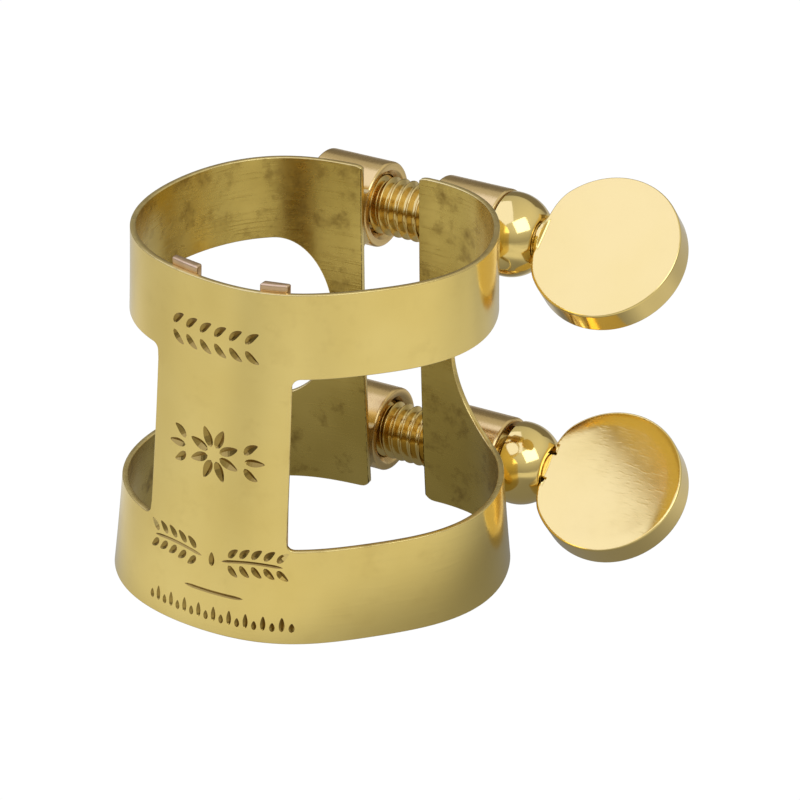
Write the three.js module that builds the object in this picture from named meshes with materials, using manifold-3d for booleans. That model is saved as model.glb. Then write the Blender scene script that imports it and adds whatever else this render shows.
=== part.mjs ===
// Saxophone ligature: a split brass band with two windows, reed rails, four
// screw posts and two thumbscrews.  Millimetres, +Z up.  The band axis is Z,
// the reed side faces -Y, the split is at +Y and both screws lie along X.
import * as THREE from 'three';
import { mergeVertices } from 'three/addons/utils/BufferGeometryUtils.js';
import Module from 'manifold-3d';

// ---------------------------------------------------------------- dimensions
const HEIGHT = 24.26;            // band height
const SHEET = 0.40;              // sheet thickness
const MEAN_R = 11.3;             // mean outer radius at the top rim
const FLARE = 0.0949;            // relative growth of the radius down to the bottom rim
const FLARE_POWER = 2.1;
const WINDOW_LOW = 6.5;          // top edge of the lower band
const WINDOW_HIGH = 18.45;       // bottom edge of the upper band
const WINDOW_CORNER = 0.55;      // small corner radius beside the front plate
const ARCH_START = 137;          // degrees from the front where the arch starts
const ARCH_TIP = 157.5;          // degrees from the front at the arch tip
const SPLIT_HALF = 2.10;         // half of the gap at the split
const END_CORNER = 0.6;          // rounded lower corners of the end plates
const SEAM_X = 5.0;              // flex line between the two halves of the band
const SEAM_GAP = 0.06;

const POST_R = 2.93;             // tube posts
const POST_LEN = 4.9;
const THREAD_BORE_R = 2.05;
const GUIDE_BORE_R = 2.30;
const POST_CHAMFER = 0.18;
const SOLDER_GAP = 0.02;

const UPPER_Z = 20.25;           // screw axes
const LOWER_Z = 2.97;
const SHANK_R = 2.0;             // M4 thread, pitch 0.7
const SPINDLE_R = 1.2;
const COLLAR_R = 2.86;
const COLLAR_BORE_R = 1.26;
const COLLAR_FACE_UPPER = 7.10;  // flat inner face of the collar
const COLLAR_FACE_LOWER = 7.55;
const COLLAR_LEN = 2.62;
const PADDLE_R = 5.15;
const PADDLE_T = 1.8;
const PADDLE_WEB = 1.15;
const PADDLE_TILT = 40.0;        // paddle normal, degrees from +Z towards -Y
const UPPER_OFFSET = 7.80;       // paddle centre, from the collar face
const LOWER_OFFSET = 7.25;
const UPPER_LIFT = 0.70;         // paddle centre, off the screw axis along its normal
const LOWER_LIFT = 0.0;
const SHANK_TAIL = 15.4;         // shank length behind the collar face

const RAIL_TOP = 0.42;           // rail tip above the top rim
const RAIL_BOTTOM = 0.7;
const RAIL_T = 0.62;             // least rail thickness

// --------------------------------------------------------------- plan curve
const A = [1.0, -0.06384, -0.05638, 0.02555, -0.01326, 0.01006, -0.00634];
const B = [-0.00017, -0.01838, 0.00053, 0.00288, 0.01161];
const D = [0.0215, 0.00974, -0.02981, -0.02493];
const rad = (d) => d * Math.PI / 180;

function radius(th, z) {
  const k = 1 - Math.min(Math.max(z / HEIGHT, 0), 1.02);
  const kk = Math.max(k, 0);
  let s = 0;
  for (let i = 0; i < A.length; i++) s += A[i] * Math.cos(i * th);
  for (let i = 0; i < B.length; i++) s += B[i] * Math.sin((i + 1) * th);
  s += k * (D[0] * Math.cos(th) + D[1] * Math.cos(2 * th) + D[2] * Math.sin(th) + D[3] * Math.sin(2 * th));
  return MEAN_R * s * (1 + FLARE * Math.pow(kk, FLARE_POWER));
}
function outer(th, z) {
  const r = radius(th, z);
  return new THREE.Vector3(r * Math.sin(th), -r * Math.cos(th), z);
}
function planNormal(th, z) {
  const e = 1e-3, a = outer(th - e, z), b = outer(th + e, z);
  const t = b.sub(a).normalize();
  return new THREE.Vector3(t.y, -t.x, 0);
}
const surf = (th, z, depth) => outer(th, z).addScaledVector(planNormal(th, z), -depth);
// angle where the outer surface has a given x, near a starting angle
function angleAtX(x, z, th0, depth = 0) {
  let th = th0;
  for (let i = 0; i < 30; i++) {
    const e = 1e-4, f = surf(th, z, depth).x - x, g = (surf(th + e, z, depth).x - surf(th - e, z, depth).x) / (2 * e);
    th -= f / g;
  }
  return th;
}

// -------------------------------------------------------------------- sheet
const plateLeft = (z) => -5.55 - 0.045 * (18.2 - z);
const plateRight = (z) => 4.50 - 0.020 * (18.2 - z);
const lerp = (a, b, t) => a + (b - a) * t;
const Z_MID = (WINDOW_LOW + WINDOW_HIGH) / 2, Z_HALF = (WINDOW_HIGH - WINDOW_LOW) / 2;

// key columns of one side, from the front centre to the split end
function keys(side) {
  const s = side;
  const edge = (z) => angleAtX(s > 0 ? plateRight(z) : plateLeft(z), z, s * 0.45);
  const end = (z) => angleAtX(s * SPLIT_HALF, z, s * rad(169));
  return { edge, end };
}
// Build the closed sheet from a column list.  Each column: f(z) angle,
// w: null (solid) or [low, high]; bottom, top limits.
function sheetGeometry(cols) {
  const NL = 3, NM = 4, NU = 3, ROWS = NL + NM + NU;
  const pos = [], ids = [];
  const key = new Map();
  const add = (p) => {
    const k = p.x.toFixed(5) + ',' + p.y.toFixed(5) + ',' + p.z.toFixed(5);
    if (!key.has(k)) { key.set(k, pos.length / 3); pos.push(p.x, p.y, p.z); }
    return key.get(k);
  };
  for (const c of cols) {
    const zs = [];
    const lo = c.w ? c.w[0] : c.m[0], hi = c.w ? c.w[1] : c.m[1];
    for (let j = 0; j <= NL; j++) zs.push(lerp(c.bottom, lo, j / NL));
    for (let j = 1; j <= NM; j++) zs.push(lerp(lo, hi, j / NM));
    for (let j = 1; j <= NU; j++) zs.push(lerp(hi, c.top, j / NU));
    ids.push([0, SHEET].map((d) => zs.map((z) => add(surf(c.f(z), z, d)))));
  }
  const idx = [];
  const tri = (a, b, c) => { if (a !== b && b !== c && a !== c) idx.push(a, b, c); };
  const quad = (a, b, c, d) => { tri(a, b, c); tri(a, c, d); };
  const cell = (i, j) => i >= 0 && i < cols.length - 1 && j >= 0 && j < ROWS &&
    !(j >= NL && j < NL + NM && cols[i].open);
  for (let i = 0; i < cols.length - 1; i++) for (let j = 0; j < ROWS; j++) {
    if (!cell(i, j)) continue;
    const [o0, n0] = ids[i], [o1, n1] = ids[i + 1];
    quad(o0[j], o1[j], o1[j + 1], o0[j + 1]);
    quad(n0[j], n0[j + 1], n1[j + 1], n1[j]);
    if (!cell(i, j - 1)) quad(n0[j], n1[j], o1[j], o0[j]);
    if (!cell(i, j + 1)) quad(o0[j + 1], o1[j + 1], n1[j + 1], n0[j + 1]);
    if (!cell(i - 1, j)) quad(n0[j], o0[j], o0[j + 1], n0[j + 1]);
    if (!cell(i + 1, j)) quad(o1[j], n1[j], n1[j + 1], o1[j + 1]);
  }
  const g = new THREE.BufferGeometry();
  g.setAttribute('position', new THREE.Float32BufferAttribute(pos, 3));
  g.setIndex(idx);
  return g;
}

// all columns from one split end to the other, left to right
function columns() {
  const out = [];
  for (const s of [-1, 1]) {
    const { edge, end } = keys(s), half = [];
    const M = [Z_MID - Z_HALF * 0.6, Z_MID + Z_HALF * 0.6];
    const C = WINDOW_CORNER, ca = C / 10.4;
    const start = s * rad(ARCH_START), tip = s * rad(ARCH_TIP);
    // front plate
    for (let i = 0; i < 6; i++) {
      const t = i / 6;
      half.push({ f: (z) => edge(z) * t, m: [WINDOW_LOW + C, WINDOW_HIGH - C], bottom: 0, top: HEIGHT });
    }
    // window corner beside the plate
    for (const t of [0, 0.1, 0.35, 0.65, 1]) {
      const q = C * (1 - t), dz = C - Math.sqrt(Math.max(0, C * C - q * q));
      const col = { f: (z) => edge(z) + s * ca * t, w: [WINDOW_LOW + dz, WINDOW_HIGH - dz], bottom: 0, top: HEIGHT, window: true };
      half.push(col);
      if (t === 1 && s > 0) {
        half.push({ ...col, f: (z) => angleAtX(SEAM_X - SEAM_GAP / 2, z, 0.5), w: [WINDOW_LOW, WINDOW_HIGH], seam: 'a' });
        half.push({ ...col, f: (z) => angleAtX(SEAM_X + SEAM_GAP / 2, z, 0.5), w: [WINDOW_LOW, WINDOW_HIGH], seam: 'b' });
      }
    }
    // straight run of the window
    const from = s > 0 ? (z) => angleAtX(SEAM_X + SEAM_GAP / 2, z, 0.5) : (z) => edge(z) + s * ca;
    const n = 20;
    for (let i = 1; i < n; i++) {
      const t = i / n;
      half.push({ f: (z) => lerp(from(z), start, t), w: [WINDOW_LOW, WINDOW_HIGH], bottom: 0, top: HEIGHT, window: true });
    }
    // arch
    for (let i = 0; i <= 10; i++) {
      const a = (i / 10) * Math.PI / 2, h = Z_HALF * Math.cos(a);
      const th = lerp(start, tip, Math.sin(a));
      half.push({ f: () => th, w: [Z_MID - h, Z_MID + h], bottom: 0, top: HEIGHT, window: i < 10, m: i < 10 ? null : [Z_MID, Z_MID] });
    }
    // end plate
    const ea = END_CORNER / 10.9;
    for (const t of [0.5, 1]) half.push({ f: (z) => lerp(tip, end(z) - s * ea, t), m: t < 1 ? [Z_MID - 1.2, Z_MID + 1.2] : M, bottom: 0, top: HEIGHT });
    for (const t of [0.35, 0.65, 0.9, 1]) {
      const q = END_CORNER * t, dz = END_CORNER - Math.sqrt(Math.max(0, END_CORNER * END_CORNER - q * q));
      half.push({ f: (z) => end(z) - s * ea * (1 - t), m: M, bottom: dz, top: HEIGHT - 0.4 * dz });
    }
    if (s < 0) { half.reverse(); out.push(...half.slice(0, -1)); } else out.push(...half);
  }
  // a cell between two columns is open when both belong to the window
  for (let i = 0; i < out.length - 1; i++) {
    const a = out[i], b = out[i + 1];
    a.open = !!(a.w && b.w);
    a.m = a.m || a.w; b.m = b.m || b.w;
  }
  return out;
}

// -------------------------------------------------------------------- rails
function railGeometry(x0, x1, faceTilt) {
  // back follows the sheet, the reed face is one plane
  const N = 4, R = 14, z0 = RAIL_BOTTOM, z1 = HEIGHT + RAIL_TOP;
  const xm = (x0 + x1) / 2, ct = Math.cos(faceTilt), st = Math.sin(faceTilt);
  const back = (x, z) => {
    const zz = Math.min(z, HEIGHT), th = angleAtX(x, zz, x / 10, SHEET + SOLDER_GAP);
    const p = surf(th, zz, SHEET + SOLDER_GAP); p.z = z; return p;
  };
  // plane through the least thickness at the top and the bottom
  const pt = back(xm, z1), pb = back(xm, z0);
  const slope = (pt.y - pb.y) / (z1 - z0);
  let off = RAIL_T;
  const face = (x, z) => pb.y + slope * (z - z0) + off + (x - xm) * st / ct;
  const pos = [], idx = [];
  for (let j = 0; j <= R; j++) {
    const z = lerp(z0, z1, j / R);
    for (let i = 0; i <= N; i++) { const x = lerp(x0, x1, i / N), p = back(x, z); pos.push(x, p.y, z); }
    for (let i = 0; i <= N; i++) { const x = lerp(x0, x1, i / N); pos.push(x, face(x, z), z); }
  }
  const W = 2 * (N + 1), at = (j, i, f) => j * W + f * (N + 1) + i;
  const quad = (a, b, c, d) => idx.push(a, b, c, a, c, d);
  for (let j = 0; j < R; j++) {
    for (let i = 0; i < N; i++) {
      quad(at(j, i, 0), at(j, i + 1, 0), at(j + 1, i + 1, 0), at(j + 1, i, 0));
      quad(at(j, i, 1), at(j + 1, i, 1), at(j + 1, i + 1, 1), at(j, i + 1, 1));
    }
    quad(at(j, 0, 0), at(j + 1, 0, 0), at(j + 1, 0, 1), at(j, 0, 1));
    quad(at(j, N, 0), at(j, N, 1), at(j + 1, N, 1), at(j + 1, N, 0));
  }
  for (let i = 0; i < N; i++) {
    quad(at(0, i, 0), at(0, i, 1), at(0, i + 1, 1), at(0, i + 1, 0));
    quad(at(R, i, 0), at(R, i + 1, 0), at(R, i + 1, 1), at(R, i, 1));
  }
  const g = new THREE.BufferGeometry();
  g.setAttribute('position', new THREE.Float32BufferAttribute(pos, 3));
  g.setIndex(idx);
  return g;
}

// ------------------------------------------------------------------ booleans
const wasm = await Module();
wasm.setup();
// merged vertices and no collapsed triangles
function welded(g) {
  const h = g.clone(); h.deleteAttribute('normal'); h.deleteAttribute('uv');
  const m = mergeVertices(h, 1e-4), i = m.index.array, keep = [];
  for (let k = 0; k < i.length; k += 3)
    if (i[k] !== i[k + 1] && i[k + 1] !== i[k + 2] && i[k] !== i[k + 2]) keep.push(i[k], i[k + 1], i[k + 2]);
  m.setIndex(keep);
  return m;
}
function toManifold(g) {
  const m = welded(g);
  return new wasm.Manifold(new wasm.Mesh({
    numProp: 3,
    vertProperties: new Float32Array(m.attributes.position.array),
    triVerts: new Uint32Array(m.index.array),
  }));
}
function fromManifold(m) {
  const q = m.getMesh(), g = new THREE.BufferGeometry();
  g.setAttribute('position', new THREE.BufferAttribute(new Float32Array(q.vertProperties), 3));
  g.setIndex(new THREE.BufferAttribute(new Uint32Array(q.triVerts), 1));
  return g;
}
// lathe about the X axis: profile of [x, r]
function latheX(profile, seg = 40) {
  const solid = profile[0][1] === 0;      // starts and ends on the axis
  const pts = solid ? profile : [...profile, profile[0]];
  const g = welded(new THREE.LatheGeometry(pts.map(([x, r]) => new THREE.Vector2(r, x)), seg));
  g.applyMatrix4(new THREE.Matrix4().makeRotationZ(-Math.PI / 2));
  if (volume(g) < 0) flip(g);
  return g;
}
function volume(g) {
  const p = g.attributes.position, i = g.index.array, a = new THREE.Vector3(), b = new THREE.Vector3(), c = new THREE.Vector3();
  let v = 0;
  for (let k = 0; k < i.length; k += 3) {
    a.fromBufferAttribute(p, i[k]); b.fromBufferAttribute(p, i[k + 1]); c.fromBufferAttribute(p, i[k + 2]);
    v += a.dot(b.cross(c)) / 6;
  }
  return v;
}
function flip(g) {
  const i = g.index.array;
  for (let k = 0; k < i.length; k += 3) { const t = i[k]; i[k] = i[k + 1]; i[k + 1] = t; }
}
// solid that fills the band, a little larger than its outer surface
function coreGeometry(z0, z1) {
  const NT = 96, NZ = 6, pos = [], idx = [];
  for (let j = 0; j <= NZ; j++) for (let i = 0; i < NT; i++) {
    const z = lerp(z0, z1, j / NZ), p = surf(2 * Math.PI * i / NT, z, -SOLDER_GAP); pos.push(p.x, p.y, p.z);
  }
  const c0 = pos.length / 3; pos.push(0, 0, z0); const c1 = c0 + 1; pos.push(0, 0, z1);
  for (let i = 0; i < NT; i++) {
    const k = (i + 1) % NT;
    for (let j = 0; j < NZ; j++) {
      const a = j * NT + i, b = j * NT + k, c = (j + 1) * NT + k, d = (j + 1) * NT + i;
      idx.push(a, b, c, a, c, d);
    }
    idx.push(c0, k, i, c1, NZ * NT + i, NZ * NT + k);
  }
  const g = new THREE.BufferGeometry();
  g.setAttribute('position', new THREE.Float32BufferAttribute(pos, 3));
  g.setIndex(idx);
  return g;
}

// ------------------------------------------------------------------ assembly
const root = new THREE.Group();
root.name = 'saxophone_ligature';
const brass = (c) => new THREE.MeshStandardMaterial({ color: c, metalness: 1, roughness: 0.35 });
function add(name, g, color) {
  const m = welded(g);
  if (volume(m) < 0) flip(m);
  m.computeVertexNormals();
  const mesh = new THREE.Mesh(m, brass(color)); mesh.name = name; root.add(mesh);
}

const cols = columns();
const cut = cols.findIndex((c) => c.seam === 'b');
const leftCols = cols.slice(0, cut), rightCols = cols.slice(cut);
const sheet = (list) => sheetGeometry(list);
add('band_left', sheet(leftCols), 0xcdb66a);
add('band_right', sheet(rightCols), 0xcdb66a);
add('left_reed_rail', railGeometry(-4.55, -2.30, -0.19), 0xc59a72);
add('right_reed_rail', railGeometry(2.35, 4.30, 0.22), 0xc59a72);

// post axis so that the tube rests on the sheet just beside the split
function postY(z, sunk) {
  const th = angleAtX(SPLIT_HALF + 0.5, z, rad(166));
  return outer(th, z).y + POST_R - sunk;
}
const UPPER_Y = postY(UPPER_Z, 0.30), LOWER_Y = postY(LOWER_Z, 0.08);
function post(x0, x1, bore, y, z) {
  const c = POST_CHAMFER;
  const g = latheX([[x0, bore + c], [x0, POST_R - c], [x0 + c, POST_R], [x1 - c, POST_R], [x1, POST_R - c], [x1, bore + c], [x1 - c, bore], [x0 + c, bore]], 48);
  g.translate(0, y, z);
  const core = coreGeometry(z - 4.2, z + 4.2);
  return fromManifold(toManifold(g).subtract(toManifold(core)));
}
const LEFT1 = -SPLIT_HALF, LEFT0 = LEFT1 - POST_LEN, RIGHT0 = SPLIT_HALF, RIGHT1 = RIGHT0 + POST_LEN;
add('upper_threaded_post', post(LEFT0, LEFT1, THREAD_BORE_R, UPPER_Y, UPPER_Z), 0xc8a868);
add('lower_threaded_post', post(LEFT0, LEFT1, THREAD_BORE_R, LOWER_Y, LOWER_Z), 0xc8a868);
add('upper_guide_post', post(RIGHT0, RIGHT1, GUIDE_BORE_R, UPPER_Y, UPPER_Z), 0xc8a868);
add('lower_guide_post', post(RIGHT0, RIGHT1, GUIDE_BORE_R, LOWER_Y, LOWER_Z), 0xc8a868);

function screw(prefix, face, y, z, offset, lift) {
  const tail = face - SHANK_TAIL;
  const shank = latheX([[tail, 0], [tail, 1.55], [tail + 0.45, SHANK_R], [face - 0.12, SHANK_R], [face - 0.12, SPINDLE_R], [face + COLLAR_LEN + 0.02, SPINDLE_R], [face + COLLAR_LEN + 0.02, 0]], 40);
  shank.translate(0, y, z);
  // half-ball with a flat inner face
  const prof = [[face, COLLAR_BORE_R], [face, 2.60], [face + 0.12, 2.76]];
  const cx = face + 0.34;
  for (let i = 0; i <= 12; i++) {
    const a = lerp(Math.PI / 2 + 0.02, Math.acos((COLLAR_LEN - 0.34) / COLLAR_R), i / 12);
    prof.push([cx + COLLAR_R * Math.cos(a), COLLAR_R * Math.sin(a)]);
  }
  prof.push([face + COLLAR_LEN, COLLAR_BORE_R]);
  const collar = latheX(prof, 48);
  collar.translate(0, y, z);
  // paddle: dished disc and a short neck
  const disc = [];
  const R = PADDLE_R, h = PADDLE_T / 2, w = PADDLE_WEB / 2;
  const half = [[0, w], [1.6, w + 0.02], [3.0, w + 0.11], [4.0, w + 0.22], [4.7, h], [R - 0.12, h], [R, h - 0.14]];
  for (const [r, q] of half) disc.push(new THREE.Vector2(r, q));
  for (const [r, q] of half.slice().reverse()) disc.push(new THREE.Vector2(r, -q));
  const dg = welded(new THREE.LatheGeometry(disc, 56));          // axis Y
  if (volume(dg) < 0) flip(dg);
  dg.rotateX(Math.PI / 2);                                      // axis Z
  const neck = latheX([[COLLAR_LEN + 0.06, 0], [COLLAR_LEN + 0.06, 1.45], [4.2, 1.3], [6.0, 0.6], [6.0, 0]], 32);
  dg.translate(0, 0, lift);
  dg.rotateX(rad(PADDLE_TILT));                                 // normal from +Z towards -Y
  dg.translate(offset, 0, 0);
  const ball = new THREE.SphereGeometry(COLLAR_R + 0.06, 48, 32);
  ball.translate(0.34, 0, 0);
  let m = toManifold(dg).add(toManifold(neck)).subtract(toManifold(ball));
  const near = latheX([[-1, 0], [-1, 1.9], [COLLAR_LEN + 0.06, 1.9], [COLLAR_LEN + 0.06, 0]], 24);
  m = m.subtract(toManifold(near));
  const pg = fromManifold(m);
  pg.translate(face, y, z);
  add(prefix + '_screw_shank', shank, 0xd8a83a);
  add(prefix + '_ball_collar', collar, 0xd8a83a);
  add(prefix + '_thumb_paddle', pg, 0xdcb050);
}
screw('upper', COLLAR_FACE_UPPER, UPPER_Y, UPPER_Z, UPPER_OFFSET, UPPER_LIFT);
screw('lower', COLLAR_FACE_LOWER, LOWER_Y, LOWER_Z, LOWER_OFFSET, LOWER_LIFT);

root.userData.axes = { UPPER_Y, UPPER_Z, LOWER_Y, LOWER_Z };
export default root;
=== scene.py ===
# Saxophone ligature: the looks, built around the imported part.
# Lengths in this file are millimetres, turned into metres when a mesh is made.
# +Z up, band axis Z, reed side -Y, split at +Y, both screws along X.
import math

import bmesh
import bpy
import numpy as np
from mathutils import Matrix, Vector


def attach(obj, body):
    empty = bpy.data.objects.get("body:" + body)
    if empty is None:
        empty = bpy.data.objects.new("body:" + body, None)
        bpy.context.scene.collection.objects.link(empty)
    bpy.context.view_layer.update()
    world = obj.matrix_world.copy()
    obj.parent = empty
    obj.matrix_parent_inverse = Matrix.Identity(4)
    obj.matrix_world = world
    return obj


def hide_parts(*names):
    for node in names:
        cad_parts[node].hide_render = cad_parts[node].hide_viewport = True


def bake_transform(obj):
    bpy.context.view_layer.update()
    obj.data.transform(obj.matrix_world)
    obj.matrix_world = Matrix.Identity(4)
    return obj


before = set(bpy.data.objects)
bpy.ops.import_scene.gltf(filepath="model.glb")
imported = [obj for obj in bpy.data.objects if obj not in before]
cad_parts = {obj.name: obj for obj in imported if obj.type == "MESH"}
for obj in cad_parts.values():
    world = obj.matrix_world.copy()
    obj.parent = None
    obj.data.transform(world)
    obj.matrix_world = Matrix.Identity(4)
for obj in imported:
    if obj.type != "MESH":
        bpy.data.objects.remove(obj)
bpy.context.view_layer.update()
MM = 0.001


# --------------------------------------------------------------------- camera
def set_camera():
    right = Vector((0.8633115, 0.5046712, -0.000455)).normalized()
    up = Vector((-0.2238571, 0.3837470, 0.8958941)).normalized()
    back = right.cross(up).normalized()
    m = Matrix((right, up, back)).transposed().to_4x4()
    m.translation = Vector((126.96129, -205.37216, 131.66089)) * MM
    cam = bpy.data.cameras.new("camera")
    cam.sensor_width = 36.0
    cam.lens = 4130.43 * 36.0 / 800.0
    cam.clip_start = 0.01
    cam.clip_end = 20.0
    ob = bpy.data.objects.new("camera", cam)
    bpy.context.scene.collection.objects.link(ob)
    ob.matrix_world = m
    bpy.context.scene.camera = ob


# ----------------------------------------------------------------- dimensions
HEIGHT, SHEET, MEAN_R, FLARE, FLARE_POWER = 24.26, 0.40, 11.3, 0.0949, 2.1
WINDOW_LOW, WINDOW_HIGH, WINDOW_CORNER = 6.5, 18.45, 0.55
ARCH_START, ARCH_TIP = math.radians(137), math.radians(157.5)
SPLIT_HALF, END_CORNER = 2.10, 0.6
POST_R, POST_LEN = 2.93, 4.9
UPPER_Z, LOWER_Z = 20.25, 2.97
UPPER_Y, LOWER_Y = 13.5915, 14.5038
FACE_UPPER, FACE_LOWER = 7.10, 7.55
COLLAR_R, COLLAR_LEN = 2.86, 2.62
SHANK_R, SHANK_TAIL, PITCH = 2.0, 15.4, 0.7
TILT = math.radians(40.0)
PADDLE_R, PADDLE_T = 5.15, 1.8
A = [1.0, -0.06384, -0.05638, 0.02555, -0.01326, 0.01006, -0.00634]
B = [-0.00017, -0.01838, 0.00053, 0.00288, 0.01161]
D = [0.0215, 0.00974, -0.02981, -0.02493]


def radius(th, z):
    th, z = np.asarray(th, float), np.asarray(z, float)
    k = np.maximum(1 - np.clip(z / HEIGHT, 0, 1.02), 0)
    s = sum(a * np.cos(i * th) for i, a in enumerate(A))
    s = s + sum(b * np.sin((i + 1) * th) for i, b in enumerate(B))
    s = s + k * (D[0] * np.cos(th) + D[1] * np.cos(2 * th) + D[2] * np.sin(th) + D[3] * np.sin(2 * th))
    return MEAN_R * s * (1 + FLARE * k**FLARE_POWER)


def outer(th, z):
    r = radius(th, z)
    return np.stack([r * np.sin(th), -r * np.cos(th), np.broadcast_to(z, np.shape(r)) * 1.0], -1)


def plan_normal(th, z):
    e = 1e-3
    t = outer(np.asarray(th) + e, z) - outer(np.asarray(th) - e, z)
    t /= np.linalg.norm(t, axis=-1, keepdims=True)
    return np.stack([t[..., 1], -t[..., 0], np.zeros_like(t[..., 0])], -1)


def surf(th, z, depth=0.0):
    return outer(th, z) - np.asarray(depth)[..., None] * plan_normal(th, z)


def full_normal(th, z):
    e = 1e-3
    a = surf(th + e, z) - surf(th - e, z)
    b = surf(th, np.minimum(z + 0.05, HEIGHT)) - surf(th, np.maximum(z - 0.05, 0.0))
    n = np.cross(a, b)
    return n / np.linalg.norm(n, axis=-1, keepdims=True)


def angle_at_x(x, z, th0, depth=0.0):
    th = np.broadcast_to(np.asarray(th0, float), np.broadcast(x, z, th0).shape).copy()
    for _ in range(12):
        e = 1e-4
        f = surf(th, z, depth)[..., 0] - x
        if np.max(np.abs(f)) < 1e-7:
            break
        g = (surf(th + e, z, depth)[..., 0] - surf(th - e, z, depth)[..., 0]) / (2 * e)
        th = th - f / g
    return th


# ---------------------------------------------------------------- mesh helpers
def add_mesh(name, verts, faces, smooth=True):
    me = bpy.data.meshes.new(name)
    me.from_pydata([tuple(v) for v in np.asarray(verts, float) * MM], [], [tuple(int(i) for i in f) for f in faces])
    me.update()
    ob = bpy.data.objects.new(name, me)
    bpy.context.scene.collection.objects.link(ob)
    if smooth:
        me.polygons.foreach_set("use_smooth", [True] * len(me.polygons))
    return ob


def cleanup(ob, dist=0.002, recalc=False):
    bm = bmesh.new()
    bm.from_mesh(ob.data)
    bmesh.ops.remove_doubles(bm, verts=bm.verts, dist=dist * MM)
    if recalc:
        bmesh.ops.recalc_face_normals(bm, faces=bm.faces)
    bm.to_mesh(ob.data)
    bm.free()
    ob.data.update()
    return ob


def bake_modifiers(ob):
    dg = bpy.context.evaluated_depsgraph_get()
    me = bpy.data.meshes.new_from_object(ob.evaluated_get(dg), preserve_all_data_layers=True, depsgraph=dg)
    old = ob.data
    ob.modifiers.clear()
    ob.data = me
    bpy.data.meshes.remove(old)
    return ob


def bevel(ob, width, segments=2, angle=50):
    m = ob.modifiers.new("bevel", "BEVEL")
    m.width = width * MM
    m.segments = segments
    m.limit_method = "ANGLE"
    m.angle_limit = math.radians(angle)
    m.use_clamp_overlap = False
    m.harden_normals = False
    return bake_modifiers(ob)


def weighted(ob, sharp=None):
    ob.data.polygons.foreach_set("use_smooth", [True] * len(ob.data.polygons))
    m = ob.modifiers.new("weighted", "WEIGHTED_NORMAL")
    m.keep_sharp = sharp is not None
    if sharp is not None:
        ob.data.set_sharp_from_angle(angle=math.radians(sharp))
    return bake_modifiers(ob)


def lathe_x(profile, seg=96, y=0.0, z=0.0):
    """Closed solid about X from a profile of (x, r); ends on the axis or closes on itself."""
    solid = profile[0][1] == 0
    pts = list(profile)
    n = len(pts)
    verts, faces = [], []
    for x, r in pts:
        for j in range(seg):
            a = 2 * math.pi * j / seg
            verts.append((x, y + r * math.cos(a), z + r * math.sin(a)))
    rows = n - 1 if solid else n
    for i in range(rows):
        a, b = i, (i + 1) % n
        for j in range(seg):
            k = (j + 1) % seg
            faces.append((a * seg + j, a * seg + k, b * seg + k, b * seg + j))
    return verts, faces


def arc(cx, cr, r, a0, a1, n):
    """Points on an arc in the (x, r) plane, angles in degrees."""
    return [(cx + r * math.cos(math.radians(a0 + (a1 - a0) * i / n)), cr + r * math.sin(math.radians(a0 + (a1 - a0) * i / n))) for i in range(n + 1)]


# ------------------------------------------------------------------ materials
class Nodes:
    def __init__(self, name):
        self.m = bpy.data.materials.new(name)
        self.m.use_nodes = True
        self.t = self.m.node_tree
        self.bsdf = self.t.nodes["Principled BSDF"]
        self.coord = self.t.nodes.new("ShaderNodeTexCoord")

    def new(self, kind, **inputs):
        n = self.t.nodes.new(kind)
        for k, v in inputs.items():
            n.inputs[k.replace("_", " ")].default_value = v
        return n

    def link(self, a, b):
        self.t.links.new(a, b)

    def mapped(self, scale, rotation=(0, 0, 0)):
        mp = self.t.nodes.new("ShaderNodeMapping")
        mp.inputs["Scale"].default_value = scale
        mp.inputs["Rotation"].default_value = rotation
        self.link(self.coord.outputs["Object"], mp.inputs["Vector"])
        return mp.outputs["Vector"]

    def noise(self, scale, detail=4.0, rough=0.5, stretch=(1, 1, 1), rotation=(0, 0, 0), distortion=0.0):
        n = self.t.nodes.new("ShaderNodeTexNoise")
        n.inputs["Scale"].default_value = scale
        n.inputs["Detail"].default_value = detail
        n.inputs["Roughness"].default_value = rough
        n.inputs["Distortion"].default_value = distortion
        self.link(self.mapped(stretch, rotation), n.inputs["Vector"])
        return n.outputs["Fac"]

    def span(self, fac, lo, hi, out_lo, out_hi):
        n = self.t.nodes.new("ShaderNodeMapRange")
        n.inputs["From Min"].default_value = lo
        n.inputs["From Max"].default_value = hi
        n.inputs["To Min"].default_value = out_lo
        n.inputs["To Max"].default_value = out_hi
        self.link(fac, n.inputs["Value"])
        return n.outputs["Result"]

    def mix(self, fac, a, b, mode="MIX"):
        n = self.t.nodes.new("ShaderNodeMix")
        n.data_type = "RGBA"
        n.blend_type = mode
        if isinstance(fac, float):
            n.inputs[0].default_value = fac
        else:
            self.link(fac, n.inputs[0])
        for sock, v in ((n.inputs[6], a), (n.inputs[7], b)):
            if isinstance(v, tuple):
                sock.default_value = (*v, 1.0)
            else:
                self.link(v, sock)
        return n.outputs[2]

    def math(self, op, a, b):
        n = self.t.nodes.new("ShaderNodeMath")
        n.operation = op
        for s, v in ((n.inputs[0], a), (n.inputs[1], b)):
            if isinstance(v, (int, float)):
                s.default_value = v
            else:
                self.link(v, s)
        return n.outputs[0]

    def bump(self, height, strength, distance, normal=None):
        n = self.t.nodes.new("ShaderNodeBump")
        n.inputs["Strength"].default_value = strength
        n.inputs["Distance"].default_value = distance * MM
        self.link(height, n.inputs["Height"])
        if normal is not None:
            self.link(normal, n.inputs["Normal"])
        return n.outputs["Normal"]

    def finish(self, color=None, rough=None, normal=None):
        if color is not None:
            self.link(color, self.bsdf.inputs["Base Color"])
        if rough is not None:
            self.link(rough, self.bsdf.inputs["Roughness"])
        if normal is not None:
            self.link(normal, self.bsdf.inputs["Normal"])
        return self.m


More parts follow.
